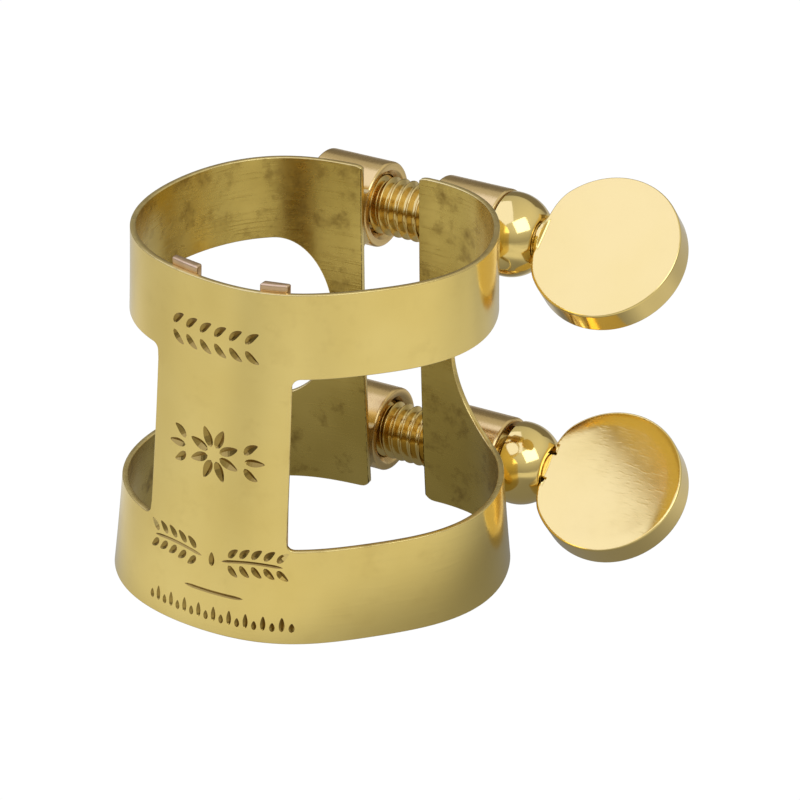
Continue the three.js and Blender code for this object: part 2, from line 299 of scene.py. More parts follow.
def brass(name, light, dark, rough, rough_span, wave=0.0, wave_scale=180.0, scratch=0.0, scratch_dir=(1, 1, 14), grain=0.0, stain_and_shade=None, stain_and_shade_amount=0.25):
    """Brass with slow colour drift, patches of wear, fine scratches, a slight waviness of the sheet and grain."""
    n = Nodes(name)
    n.bsdf.inputs["Metallic"].default_value = 1.0
    n.bsdf.inputs["IOR"].default_value = 1.45
    drift = n.noise(95, 3.0, 0.55)
    patch = n.noise(420, 4.0, 0.6)
    col = n.mix(n.span(drift, 0.35, 0.65, 0.0, 1.0), light, dark)
    # the darker colour mixed in noise patches is stain on most parts; on the inside of the band it is painted shade as
    # well
    if stain_and_shade is not None:
        spots = n.noise(900, 5.0, 0.7)
        mask = n.span(n.math("MULTIPLY", spots, patch), 0.27, 0.42, 0.0, stain_and_shade_amount)
        col = n.mix(mask, col, stain_and_shade)
    lines = n.noise(700, 2.0, 0.5, stretch=scratch_dir)
    fine = n.noise(2600, 3.0, 0.6)
    r = n.math("ADD", n.span(patch, 0.35, 0.7, rough - rough_span, rough + rough_span), n.span(lines, 0.45, 0.75, 0.0, rough_span * 0.8))
    nrm = None
    if wave > 0:
        nrm = n.bump(n.noise(wave_scale, 2.0, 0.4), 1.0, wave)
    if scratch > 0:
        sc = n.span(lines, 0.55, 0.75, 0.0, 1.0)
        nrm = n.bump(sc, 1.0, scratch, nrm)
    if grain > 0:
        nrm = n.bump(fine, 1.0, grain, nrm)
    return n.finish(col, r, nrm)


MATS = {}


def build_materials():
    MATS["band"] = brass("band_brass", (0.91, 0.71, 0.245), (0.85, 0.645, 0.200), 0.165, 0.03, wave=0.012, wave_scale=150, scratch=0.0012, scratch_dir=(0.4, 0.4, 5), grain=0.0005, stain_and_shade=(0.62, 0.43, 0.12), stain_and_shade_amount=0.16)
    # inside of the sheet: darker brass and dark patches, partly real tarnish and scratches, partly painted shade of
    # the band's inner face
    MATS["inside"] = brass("band_inside_brass", (0.71, 0.53, 0.142), (0.53, 0.38, 0.086), 0.26, 0.07, wave=0.03, wave_scale=260, scratch=0.004, scratch_dir=(0.5, 0.5, 9), grain=0.0022, stain_and_shade=(0.26, 0.16, 0.035), stain_and_shade_amount=0.75)
    MATS["edge"] = brass("band_edge_brass", (0.92, 0.74, 0.30), (0.72, 0.53, 0.17), 0.30, 0.06, grain=0.006, scratch=0.004, scratch_dir=(3, 3, 3), stain_and_shade=(0.40, 0.27, 0.07), stain_and_shade_amount=0.5)
    # cut faces: dark brass, partly patina in the grooves, partly painted shade that makes the engraved lines stand out
    MATS["cut"] = brass("band_cut_brass", (0.42, 0.29, 0.075), (0.30, 0.19, 0.042), 0.20, 0.05, grain=0.001)
    MATS["rail"] = brass("rail_brass", (0.78, 0.55, 0.32), (0.68, 0.46, 0.24), 0.33, 0.05, grain=0.002, scratch=0.003, scratch_dir=(6, 6, 0.6), stain_and_shade=(0.42, 0.26, 0.10), stain_and_shade_amount=0.35)
    MATS["post"] = brass("post_brass", (0.90, 0.655, 0.275), (0.80, 0.56, 0.215), 0.25, 0.05, grain=0.0012, scratch=0.002, scratch_dir=(9, 0.5, 0.5), stain_and_shade=(0.50, 0.28, 0.12), stain_and_shade_amount=0.35)
    MATS["solder"] = brass("solder_brass", (0.72, 0.55, 0.24), (0.52, 0.37, 0.13), 0.34, 0.08, wave=0.03, wave_scale=900, grain=0.004, stain_and_shade=(0.30, 0.19, 0.07), stain_and_shade_amount=0.6)
    MATS["screw"] = brass("screw_brass", (0.935, 0.712, 0.262), (0.915, 0.69, 0.235), 0.105, 0.02, wave=0.004, wave_scale=260, scratch=0.0006, scratch_dir=(2, 2, 12), stain_and_shade=(0.70, 0.50, 0.18), stain_and_shade_amount=0.06)
    MATS["thread"] = brass("thread_brass", (0.82, 0.62, 0.23), (0.66, 0.47, 0.14), 0.19, 0.04, grain=0.0015, scratch=0.001, scratch_dir=(1, 6, 6), stain_and_shade=(0.42, 0.24, 0.05), stain_and_shade_amount=0.5)


# ----------------------------------------------------------------- band sheet
def plate_edge(s, z):
    x = (4.50 - 0.020 * (18.2 - z)) if s > 0 else (-5.55 - 0.045 * (18.2 - z))
    return angle_at_x(x, z, s * 0.45)


def end_angle(s, z):
    return angle_at_x(np.full(np.shape(z), s * SPLIT_HALF), z, s * math.radians(169))


Z_MID, Z_HALF = (WINDOW_LOW + WINDOW_HIGH) / 2, (WINDOW_HIGH - WINDOW_LOW) / 2


def sheet_columns():
    """Every column: dict of angle function f, window limits lo and hi (or none), rim limits."""
    out = []
    for s in (-1, 1):
        half = []
        C, ca = WINDOW_CORNER, WINDOW_CORNER / 10.4
        start, tip = s * ARCH_START, s * ARCH_TIP
        NP = 26
        for i in range(NP):
            t = i / NP
            half.append(dict(f=lambda z, t=t, s=s: plate_edge(s, z) * t, m=(WINDOW_LOW + C, WINDOW_HIGH - C), b=0.0, t=HEIGHT))
        for t in (0, 0.02, 0.08, 0.18, 0.32, 0.5, 0.74, 1):
            q = C * (1 - t)
            dz = C - math.sqrt(max(0.0, C * C - q * q))
            half.append(dict(f=lambda z, t=t, s=s: plate_edge(s, z) + s * ca * t, w=(WINDOW_LOW + dz, WINDOW_HIGH - dz), b=0.0, t=HEIGHT))
        n = 64
        for i in range(1, n):
            t = i / n
            half.append(dict(f=lambda z, t=t, s=s, start=start: (1 - t) * (plate_edge(s, z) + s * ca) + t * start, w=(WINDOW_LOW, WINDOW_HIGH), b=0.0, t=HEIGHT))
        NA = 26
        for i in range(NA + 1):
            a = (i / NA) * math.pi / 2
            h = Z_HALF * math.cos(a)
            th = start + (tip - start) * math.sin(a)
            c = dict(f=lambda z, th=th: np.full(np.shape(z), th), b=0.0, t=HEIGHT)
            if i < NA:
                c["w"] = (Z_MID - h, Z_MID + h)
            else:
                c["m"] = (Z_MID, Z_MID)
            half.append(c)
        ea = END_CORNER / 10.9
        for t in (0.12, 0.28, 0.46, 0.66, 0.85, 1):
            hh = Z_HALF * 0.6 * min(1.0, t * 1.4)
            half.append(dict(f=lambda z, t=t, s=s, tip=tip: tip + (end_angle(s, z) - s * ea - tip) * t, m=(Z_MID - hh, Z_MID + hh), b=0.0, t=HEIGHT))
        for t in (0.3, 0.55, 0.75, 0.88, 0.96, 1):
            q = END_CORNER * t
            dz = END_CORNER - math.sqrt(max(0.0, END_CORNER**2 - q * q))
            half.append(dict(f=lambda z, t=t, s=s: end_angle(s, z) - s * ea * (1 - t), m=(Z_MID - Z_HALF * 0.6, Z_MID + Z_HALF * 0.6), b=dz, t=HEIGHT - 0.4 * dz))
        out += list(reversed(half))[:-1] if s < 0 else half
    return out


def build_sheet():
    cols = sheet_columns()
    NL, NM, NU = 13, 24, 12
    rows = NL + NM + NU
    zs = []
    for c in cols:
        lo, hi = c.get("w") or c["m"]
        z = [c["b"] + (lo - c["b"]) * j / NL for j in range(NL + 1)]
        z += [lo + (hi - lo) * j / NM for j in range(1, NM + 1)]
        z += [hi + (c["t"] - hi) * j / NU for j in range(1, NU + 1)]
        zs.append(np.array(z))
    ths = [c["f"](z) for c, z in zip(cols, zs)]
    th, z = np.array(ths), np.array(zs)
    o, i_ = surf(th, z, np.zeros_like(z)), surf(th, z, np.full_like(z, SHEET))
    n = len(cols)
    verts = np.concatenate([o.reshape(-1, 3), i_.reshape(-1, 3)])
    O = np.arange(n * (rows + 1)).reshape(n, rows + 1)
    I = O + n * (rows + 1)
    openc = [bool(cols[k].get("w")) and bool(cols[k + 1].get("w")) for k in range(n - 1)]

    def cell(k, j):
        return 0 <= k < n - 1 and 0 <= j < rows and not (openc[k] and NL <= j < NL + NM)

    faces = []
    for k in range(n - 1):
        for j in range(rows):
            if not cell(k, j):
                continue
            faces.append((O[k, j], O[k + 1, j], O[k + 1, j + 1], O[k, j + 1]))
            faces.append((I[k, j], I[k, j + 1], I[k + 1, j + 1], I[k + 1, j]))
            if not cell(k, j - 1):
                faces.append((I[k, j], I[k + 1, j], O[k + 1, j], O[k, j]))
            if not cell(k, j + 1):
                faces.append((O[k, j + 1], O[k + 1, j + 1], I[k + 1, j + 1], I[k, j + 1]))
            if not cell(k - 1, j):
                faces.append((I[k, j], O[k, j], O[k, j + 1], I[k, j + 1]))
            if not cell(k + 1, j):
                faces.append((O[k + 1, j], I[k + 1, j], I[k + 1, j + 1], O[k + 1, j + 1]))
    ob = add_mesh("band_sheet", verts, faces)
    # drop unused points and the collapsed cells at the arch tip
    bm = bmesh.new()
    bm.from_mesh(ob.data)
    bmesh.ops.delete(bm, geom=[v for v in bm.verts if not v.link_faces], context="VERTS")
    bmesh.ops.remove_doubles(bm, verts=bm.verts, dist=1e-6)
    bmesh.ops.dissolve_degenerate(bm, edges=bm.edges, dist=1e-7)
    bm.to_mesh(ob.data)
    bm.free()
    bevel(ob, 0.07, 2, 50)
    return ob


# ------------------------------------------------------------------ ornament
def boat(path, width, depth, n_side=1):
    """A chisel cut along a path of plate points (x, z): V section, both ends pointed."""
    path = np.array(path, float)
    n = len(path)
    t = np.linspace(0, 1, n)
    tang = np.gradient(path, axis=0)
    tang /= np.linalg.norm(tang, axis=1, keepdims=True) + 1e-12
    side = np.stack([-tang[:, 1], tang[:, 0]], 1)
    w = np.atleast_1d(width) * np.ones(n)
    d = np.atleast_1d(depth) * np.ones(n)
    up = 0.06
    pts, hs = [], []
    for i in range(n):
        if i in (0, n - 1):
            pts.append(path[i])
            hs.append(up)
        else:
            k = 1 + up / max(d[i], 1e-3)          # flanks go on above the surface
            pts += [path[i] + side[i] * w[i] / 2 * k, path[i] - side[i] * w[i] / 2 * k, path[i]]
            hs += [up, up, -d[i]]
    idx = [[0]] + [[1 + 3 * i, 2 + 3 * i, 3 + 3 * i] for i in range(n - 2)] + [[1 + 3 * (n - 2)]]
    faces = []
    first = idx[1]
    faces += [(0, first[1], first[0]), (0, first[0], first[2]), (0, first[2], first[1])]
    for a, b in zip(idx[1:-1], idx[2:-1]):
        faces += [(a[0], a[1], b[1], b[0]), (a[0], b[0], b[2], a[2]), (a[2], b[2], b[1], a[1])]
    last, e = idx[-2], idx[-1][0]
    faces += [(e, last[0], last[1]), (e, last[2], last[0]), (e, last[1], last[2])]
    return np.array(pts), np.array(hs), faces


def leaf(x, z, length, width, angle, depth=0.10, bend=0.0, n=9):
    """Pointed leaf cut from (x, z), going out at an angle in degrees."""
    a = math.radians(angle)
    d, s = np.array([math.cos(a), math.sin(a)]), np.array([-math.sin(a), math.cos(a)])
    t = np.linspace(0, 1, n)
    path = [np.array([x, z]) + d * length * u + s * bend * math.sin(math.pi * u) for u in t]
    prof = np.sin(np.pi * t**0.8) ** 0.9
    return boat(path, np.maximum(width * prof, 0.02), np.maximum(depth * prof, 0.012))


def stroke(points, width, depth):
    """Even cut along a smooth line, pointed at both ends."""
    p = np.array(points, float)
    n = len(p)
    t = np.linspace(0, 1, n)
    prof = np.minimum(1.0, np.minimum(t, 1 - t) / 0.12)
    return boat(p, np.maximum(width * prof, 0.02), np.maximum(depth * prof, 0.012))


def ornament_cuts():
    cuts = []
    # upper band: a row of paired leaves
    x0, x1, z0 = -4.25, 2.55, 20.35
    m = 6
    for i in range(m):
        x = x0 + (x1 - x0) * (i + 0.5) / m
        for s in (1, -1):
            cuts.append(leaf(x - 0.38, z0 + s * 0.17, 1.35, 0.48, s * 42, 0.17, bend=s * 0.12))
    # plate centre: eight-petal rosette with two curled sprays
    cx, cz = -0.70, 12.45
    for i in range(8):
        a = 22.5 + i * 45
        cuts.append(leaf(cx + 0.42 * math.cos(math.radians(a)), cz + 0.42 * math.sin(math.radians(a)), 1.60, 0.66, a, 0.20))
    for s in (1, -1):
        for ln, an, up in ((1.5, 0, 0.0), (1.3, 40, 0.42), (1.3, -40, -0.42)):
            bx = cx + s * (2.20 + 0.08 * abs(up))
            cuts.append(leaf(bx, cz + up, ln, 0.54, an if s > 0 else 180 - an, 0.18, bend=(0.14 if up > 0 else -0.14 if up < 0 else 0) * s))
    # lower band: a laurel spray on either side of a small lozenge
    lz = 5.15
    for s in (1, -1):
        stem = [(cx + s * (0.60 + 4.35 * t), lz + 0.34 * math.sin(2.6 * t)) for t in np.linspace(0, 1, 15)]
        cuts.append(stroke(stem, 0.22, 0.11))
        for k in range(5):
            t = 0.14 + 0.185 * k
            px, pz = cx + s * (0.60 + 4.35 * t), lz + 0.34 * math.sin(2.6 * t)
            for q in (1, -1):
                an = q * 48
                cuts.append(leaf(px + s * 0.04, pz + q * 0.20, 1.08, 0.44, an if s > 0 else 180 - an, 0.14, bend=0.09 * q * s))
    cuts.append(leaf(cx, lz - 0.55, 1.10, 0.44, 90, 0.16))
    # plain line and a border of short ticks above the bottom rim
    cuts.append(stroke([(-2.95 + 4.75 * t, 2.85) for t in np.linspace(0, 1, 13)], 0.26, 0.14))
    for i in range(19):
        x = -5.6 + 10.3 * i / 18
        cuts.append(leaf(x, 0.80, 1.15 if i % 2 else 0.72, 0.34, 90, 0.15))
    return cuts


def engrave(ob):
    verts, faces = [], []
    base = 0
    for pts, hs, fs in ornament_cuts():
        x, z = pts[:, 0], pts[:, 1]
        th = angle_at_x(x, z, x / 10.2)
        p = surf(th, z, np.zeros_like(z)) + full_normal(th, z) * hs[:, None]
        verts.append(p)
        faces += [tuple(base + i for i in f) for f in fs]
        base += len(pts)
    tool = add_mesh("ornament_tool", np.concatenate(verts), faces, smooth=False)
    bm = bmesh.new()
    bm.from_mesh(tool.data)
    bmesh.ops.recalc_face_normals(bm, faces=bm.faces)
    bm.to_mesh(tool.data)
    bm.free()
    m = ob.modifiers.new("cut", "BOOLEAN")
    m.operation = "DIFFERENCE"
    m.solver = "MANIFOLD"
    m.object = tool
    bake_modifiers(ob)
    bpy.data.objects.remove(tool)
    return ob


def sheet_finish(ob):
    """Exact normals on both sides of the sheet, flat ones in the cuts, and a finish for each kind of face."""
    me = ob.data
    me.materials.clear()
    for k in ("band", "cut", "inside", "edge"):
        me.materials.append(MATS[k])
    nv, nl, npoly = len(me.vertices), len(me.loops), len(me.polygons)
    co = np.zeros(nv * 3)
    me.vertices.foreach_get("co", co)
    co = co.reshape(-1, 3) / MM
    vn = np.zeros(nv * 3)
    me.vertices.foreach_get("normal", vn)
    vn = vn.reshape(-1, 3)
    lv = np.zeros(nl, np.int64)
    me.loops.foreach_get("vertex_index", lv)
    start, total = np.zeros(npoly, np.int64), np.zeros(npoly, np.int64)
    me.polygons.foreach_get("loop_start", start)
    me.polygons.foreach_get("loop_total", total)
    fn = np.zeros(npoly * 3)
    me.polygons.foreach_get("normal", fn)
    fn = fn.reshape(-1, 3)
    fc = np.zeros(npoly * 3)
    me.polygons.foreach_get("center", fc)
    fc = fc.reshape(-1, 3) / MM
    face_of = np.repeat(np.arange(npoly), total)
    order = np.concatenate([np.arange(s, s + t) for s, t in zip(start, total)])
    loop_face = np.zeros(nl, np.int64)
    loop_face[order] = face_of
    # nearest angle on the outer surface, and depth
    th = np.arctan2(co[:, 0], -co[:, 1])
    zc = np.clip(co[:, 2], 0, HEIGHT)
    for _ in range(3):
        pn = plan_normal(th, zc)
        d = outer(th, zc) - co
        depth = (d * pn).sum(1)
        tang = np.stack([-pn[:, 1], pn[:, 0], np.zeros(nv)], 1)
        off = (d * tang).sum(1)
        th = th - off / radius(th, zc)
    N = full_normal(th, zc)
    on_out, on_in = np.abs(depth) < 0.006, np.abs(depth - SHEET) < 0.006
    # cut faces: sunk below the outer surface without reaching the inner one, and turned outwards
    deepest = np.full(npoly, -9.0)
    np.maximum.at(deepest, loop_face, depth[lv])
    outward = np.zeros(npoly)
    np.add.at(outward, loop_face, (fn[loop_face] * N[lv]).sum(1))
    outward /= total
    is_cut = (deepest > 0.006) & (deepest < 0.30) & (outward > 0.25) & (fc[:, 1] < -6.0) & (fc[:, 2] > 0.35) & (fc[:, 2] < HEIGHT - 0.5)
    low = fc[:, 2] < 5.85
    is_cut &= np.where(low, (fc[:, 0] > -6.4) & (fc[:, 0] < 5.3), (fc[:, 0] > -5.3) & (fc[:, 0] < 4.05))
    ln = vn[lv].copy()
    lo, li = on_out[lv], on_in[lv]
    ln[lo] = N[lv][lo]
    ln[li] = -N[lv][li]
    c = is_cut[loop_face]
    ln[c] = fn[loop_face][c]
    # face kinds
    out_all = np.ones(npoly, bool)
    in_all = np.ones(npoly, bool)
    np.logical_and.at(out_all, loop_face, on_out[lv])
    np.logical_and.at(in_all, loop_face, on_in[lv])
    kind = np.full(npoly, 3, np.int32)
    kind[out_all] = 0
    # the inner faces take the darker brass with its painted shade
    kind[in_all] = 2
    # the cut faces take the dark brass with its painted shade
    kind[is_cut] = 1
    me.polygons.foreach_set("material_index", kind)
    me.polygons.foreach_set("use_smooth", [True] * npoly)
    me.update()
    me.normals_split_custom_set([tuple(v) for v in ln])
    return th, depth


# ---------------------------------------------------------------------- rails
def build_rail(name, x0, x1, tilt):
    n, rows = 8, 30
    z0, z1 = 0.7, HEIGHT + 0.42
    xm, st, ct = (x0 + x1) / 2, math.sin(tilt), math.cos(tilt)

    def back_y(x, z):
        zz = np.minimum(z, HEIGHT)
        th = angle_at_x(x, zz, np.asarray(x) / 10, SHEET + 0.02)
        return surf(th, zz, np.full(np.shape(zz), SHEET + 0.02))[..., 1]

    yt, yb = back_y(np.array([xm]), np.array([z1]))[0], back_y(np.array([xm]), np.array([z0]))[0]
    slope = (yt - yb) / (z1 - z0)
    verts, faces = [], []
    W = 2 * (n + 1)
    for j in range(rows + 1):
        z = z0 + (z1 - z0) * j / rows
        xs = np.linspace(x0, x1, n + 1)
        by = back_y(xs, np.full(n + 1, z)) - 0.015 * (z < HEIGHT - 0.1)
        for x, y in zip(xs, by):
            verts.append((x, y, z))
        for x in xs:
            verts.append((x, yb + slope * (z - z0) + 0.62 + (x - xm) * st / ct, z))
    for j in range(rows):
        a, b = j * W, (j + 1) * W
        for i in range(n):
            faces.append((a + i, a + i + 1, b + i + 1, b + i))
            k = n + 1
            faces.append((a + k + i, b + k + i, b + k + i + 1, a + k + i + 1))
        faces.append((a, b, b + n + 1, a + n + 1))
        faces.append((a + n, a + 2 * n + 1, b + 2 * n + 1, b + n))
    faces.append(tuple(list(range(n + 1)) + [n + 1 + i for i in range(n, -1, -1)]))
    t = rows * W
    faces.append(tuple([t + i for i in range(n, -1, -1)] + [t + n + 1 + i for i in range(n + 1)]))
    ob = add_mesh(name, verts, faces)
    cleanup(ob, 0.0005, recalc=True)
    bevel(ob, 0.13, 3, 45)
    weighted(ob)
    ob.data.materials.append(MATS["rail"])
    return ob


# ---------------------------------------------------------------------- posts
def sheet_y(x, z):
    th0 = np.sign(x) * math.radians(165)
    th = angle_at_x(x, np.clip(z, 0, HEIGHT), th0)
    return surf(th, np.clip(z, 0, HEIGHT), np.zeros(np.shape(th)))[..., 1]


def build_post(name, x0, x1, y, z, bore, threaded, mouth):
    """Tube about X. mouth: side (+1/-1) whose opening is countersunk."""
    c, f = 0.20, 0.12
    prof = []
    prof += arc(x0 + c, POST_R - c, c, 180, 90, 6)
    prof += arc(x1 - c, POST_R - c, c, 90, 0, 6)
    sink1, sink0 = (0.34, 0.18) if mouth > 0 else (0.18, 0.34)
    prof += [(x1, bore + sink1 + 0.03), (x1 - 0.02, bore + sink1), (x1 - sink1, bore)]
    if threaded:
        # turned grooves of the inner thread, seen in the mouth
        k = int((x1 - x0 - sink0 - sink1) / 0.35)
        for i in range(1, k):
            x = x1 - sink1 - (x1 - x0 - sink0 - sink1) * i / k
            prof.append((x, bore + (0.0 if i % 2 else 0.16)))
    prof += [(x0 + sink0, bore), (x0 + 0.02, bore + sink0), (x0, bore + sink0 + 0.03)]
    v, faces = lathe_x(prof, 120, y, z)
    v = np.array(v)
    # seat on the sheet: whatever would pass through it stops inside the metal
    ys = sheet_y(v[:, 0], v[:, 2]) - 0.28
    low = (v[:, 1] < ys) & (v[:, 1] < y)
    v[low, 1] = ys[low]
    ob = add_mesh(name, v, faces)
    cleanup(ob, 0.0005, recalc=True)
    weighted(ob, sharp=38)
    ob.data.materials.append(MATS["post"])
    return ob


def build_solder(name, side, y, z):
    """Concave fillets between a tube and the sheet, lofted along X."""
    xs = np.linspace(SPLIT_HALF + 0.06, SPLIT_HALF + POST_LEN - 0.3, 34)
    rings = []
    for x in xs:
        d = y - float(sheet_y(np.array([side * x]), np.array([z]))[0])
        gap = d - POST_R
        t = (x - xs[0]) / (xs[-1] - xs[0])
        rho = max(0.34 + 0.10 * math.sin(5 * t + 1.3), gap * 0.56 + 0.16)
        if gap > 1.15:
            break
        fade = min(1.0, (1.15 - gap) / 0.35) ** 0.5
        dd = (POST_R + rho) ** 2 - (d - rho) ** 2
        if dd <= 0.01:
            break
        zc = math.sqrt(dd) * 1.0
        ring = []
        for s in (1, -1):
            c = np.array([-(d - rho), s * zc])                      # (y from tube centre, z)
            on_tube = c * POST_R / np.linalg.norm(c)
            a0 = math.atan2(*(np.array([-d, s * zc]) - c)[::-1])
            v1 = on_tube - c
            a1 = math.atan2(v1[1], v1[0])
            while a1 - a0 > math.pi:
                a1 -= 2 * math.pi
            while a1 - a0 < -math.pi:
                a1 += 2 * math.pi
            arcp = [c + rho * np.array([math.cos(a0 + (a1 - a0) * i / 8), math.sin(a0 + (a1 - a0) * i / 8)]) for i in range(9)]
            if s < 0:
                arcp = arcp[::-1]
            ring.append(arcp)
        top, bot = ring
        k0 = 1 - 0.10 / POST_R
        loop = [np.array([top[0][0] - 0.10, top[0][1]])] + top
        a_t, a_b = math.atan2(top[-1][1], top[-1][0]), math.atan2(bot[0][1], bot[0][0])
        if a_b < 0:
            a_b += 2 * math.pi
        for i in range(7):
            a = a_t + (a_b - a_t) * i / 6
            loop.append(np.array([math.cos(a), math.sin(a)]) * POST_R * k0)
        loop += bot + [np.array([bot[-1][0] - 0.10, bot[-1][1]])]
        q = np.array(loop)
        zz = z + q[:, 1] * (0.35 + 0.65 * fade)
        shift = sheet_y(np.full(len(q), side * x), zz) - (y - d)
        k = np.clip((-q[:, 0] - 1.2) / max(d - 1.2, 0.1), 0, 1)
        rings.append([(side * x, a, b) for a, b in zip(y + q[:, 0] + shift * k**3, zz)])
    n = len(rings[0])
    verts = [p for r in rings for p in r]
    faces = []
    for a in range(len(rings) - 1):
        for i in range(n):
            j = (i + 1) % n
            faces.append((a * n + i, a * n + j, (a + 1) * n + j, (a + 1) * n + i))
    faces.append(tuple(range(n)))
    faces.append(tuple((len(rings) - 1) * n + i for i in range(n)))
    ob = add_mesh(name, verts, faces)
    cleanup(ob, 0.0005, recalc=True)
    ob.data.materials.append(MATS["solder"])
    ob.data.set_sharp_from_angle(angle=math.radians(60))
    return ob


# --------------------------------------------------------------------- screws
def build_shank(name, face, y, z):
    t_list = np.array([0.0, 0.05, 0.095, 0.125, 0.155, 0.22, 0.30, 0.38, 0.42, 0.46, 0.52, 0.60, 0.66, 0.70, 0.74, 0.80, 0.88, 0.96])
    major, minor = SHANK_R - 0.01, 1.60

    def prof(t):
        t = t % 1.0
        r = np.where(t < 0.125, major, np.where(t < 0.43, major - (major - minor) * (t - 0.125) / 0.305, np.where(t < 0.695, minor, minor + (major - minor) * (t - 0.695) / 0.305)))
        return r

    def soft(t):
        return (prof(t - 0.02) + prof(t) * 2 + prof(t + 0.02)) / 4

    x0, x1 = face - SHANK_TAIL, face - 0.95
    M = 72
    turns = int(math.ceil((x1 - x0) / PITCH)) + 4
    per = len(t_list)
    raw = np.concatenate([(k - 2 + t_list) * PITCH for k in range(turns)]) + x0
    tt = np.concatenate([t_list for _ in range(turns)])
    verts = np.zeros((len(raw), M, 3))
    for j in range(M):
        ph = j / M
        xr = raw + ph * PITCH
        r = soft(tt)
        x = np.clip(xr, x0, x1)
        # lead-in cone at the tip, run-out before the neck
        r = np.minimum(r, 1.52 + (x - x0) * 1.0)
        r = np.minimum(r, minor - 0.02 + np.maximum(0.0, (x1 - x)) * 0.9)
        over = np.maximum(x0 - xr, 0) / PITCH
        r = np.where(xr < x0, 1.52 * np.clip(1 - over, 0, 1), r)
        over = np.maximum(xr - x1, 0) / PITCH
        r = np.where(xr > x1, (minor - 0.02) * np.clip(1 - over, 0, 1), r)
        a = 2 * math.pi * ph
        verts[:, j, 0] = x
        verts[:, j, 1] = y + r * math.cos(a)
        verts[:, j, 2] = z + r * math.sin(a)
    n = len(raw)
    faces = []
    for i in range(n - 1):
        for j in range(M):
            if j < M - 1:
                faces.append((i * M + j, i * M + j + 1, (i + 1) * M + j + 1, (i + 1) * M + j))
            elif i + 1 + per < n:
                faces.append((i * M + j, (i + per) * M, (i + 1 + per) * M, (i + 1) * M + j))
    ob = add_mesh(name, verts.reshape(-1, 3), faces)
    cleanup(ob, 0.003)
    bm = bmesh.new()
    bm.from_mesh(ob.data)
    bmesh.ops.dissolve_degenerate(bm, edges=bm.edges, dist=1e-6)
    open_edges = [e for e in bm.edges if len(e.link_faces) < 2]
    if open_edges:
        bmesh.ops.holes_fill(bm, edges=open_edges, sides=0)
    bmesh.ops.delete(bm, geom=[v for v in bm.verts if not v.link_faces], context="VERTS")
    bmesh.ops.recalc_face_normals(bm, faces=bm.faces)
    bm.to_mesh(ob.data)
    bm.free()
    ob.data.polygons.foreach_set("use_smooth", [True] * len(ob.data.polygons))
    ob.data.set_sharp_from_angle(angle=math.radians(60))
    ob.data.materials.append(MATS["thread"])
    # plain neck and spindle that pass through the ball
    prof2 = [(face - 1.25, 0.0), (face - 1.25, 1.45)] + arc(face - 0.55, 1.62, 0.12, 170, 90, 4)[1:] + [(face - 0.20, 1.74)] + arc(face - 0.20, 1.66, 0.08, 90, 0, 3) + [(face - 0.12, 1.2), (face + COLLAR_LEN + 0.02, 1.2), (face + COLLAR_LEN + 0.02, 0.0)]
    v, f = lathe_x(prof2, 72, y, z)
    ob2 = add_mesh(name + "_neck", v, f)
    cleanup(ob2, 0.0005, recalc=True)
    weighted(ob2, sharp=40)
    ob2.data.materials.append(MATS["thread"])
    return ob, ob2


def build_ball(name, face, y, z):
    cx = face + 0.34
    prof = [(face, 1.30), (face, 2.45)]
    prof += arc(face + 0.16, 2.58, 0.16, 180, 118, 5)
    a_end = math.degrees(math.acos((COLLAR_LEN - 0.34) / COLLAR_R))
    a0 = 96.0
    pts = arc(cx, 0.0, COLLAR_R, a0, a_end + 2.0, 44)
    prof += pts
    prof += [(face + COLLAR_LEN, pts[-1][1] - 0.12), (face + COLLAR_LEN, 1.34), (face + COLLAR_LEN - 0.06, 1.27), (face + 0.10, 1.27)]
    v, f = lathe_x(prof, 128, y, z)
    ob = add_mesh(name, v, f)
    cleanup(ob, 0.0005, recalc=True)
    weighted(ob, sharp=50)
    ob.data.materials.append(MATS["screw"])
    return ob


# ------------------------------------------------------- paddle: smooth solid
def smin(a, b, k):
    h = np.maximum(k - np.abs(a - b), 0) / k
    return np.minimum(a, b) - h * h * k * 0.25


def smax(a, b, k):
    return -smin(-a, -b, k)


PADDLE = dict(stem=1.55, chord=4.80, fillet=0.9, dish=0.33, front=0.15, back=0.34)


def paddle_field(offset, lift, shift):
    """Signed distance of paddle and its root; x along the screw from the collar face."""
    R, h, P = PADDLE_R, PADDLE_T / 2 + 0.2, PADDLE
    st, ct = math.sin(TILT), math.cos(TILT)
    dish = P["dish"]
    Rs = 4.9**2 / (2 * dish)
    xc = offset - P["chord"]

    def f(p):
        X, Y, Z = p[..., 0], p[..., 1], p[..., 2]
        u = X - offset
        v = Y * ct + Z * st - shift
        w = -Y * st + Z * ct - lift + 0.2
        disc = np.hypot(u, v) - R
        o2 = smax(disc, -(u + P["chord"]), P["fillet"])
        rr = np.where(w > 0, P["front"], P["back"])
        a, b = o2 + rr, np.abs(w) - h + rr
        body = np.minimum(np.maximum(a, b), 0) + np.hypot(np.maximum(a, 0), np.maximum(b, 0)) - rr
        # both faces are dished
        face1 = -(np.sqrt(u * u + v * v + (w - (h + Rs - dish)) ** 2) - Rs)
        face2 = -(np.sqrt(u * u + v * v + (w + (h + Rs - dish)) ** 2) - Rs)
        body = smax(smax(body, face1, 0.10), face2, 0.10)
        # round root between ball and face; on the back it runs out as a cone
        r = np.hypot(Y, Z)
        slope = np.where(w > 0.0, 0.0, 0.55)
        root = np.maximum((r - P["stem"] + slope * np.maximum(X - xc, 0)) * 0.9, np.maximum(COLLAR_LEN - 0.4 - X, X - np.where(w > 0.0, xc + 0.25, xc + 2.8)))
        root = smax(root, face1, 0.12) if lift < 0.2 else root
        solid = smin(body, root, 0.30)
        ball = COLLAR_R + 0.015 - np.sqrt((X - 0.34) ** 2 + Y * Y + Z * Z)
        solid = np.maximum(solid, ball)
        pin = np.maximum(np.maximum(r - 1.2, face1), np.maximum(X - 3.4, 1.9 - X))
        return np.minimum(solid, pin)

    return f


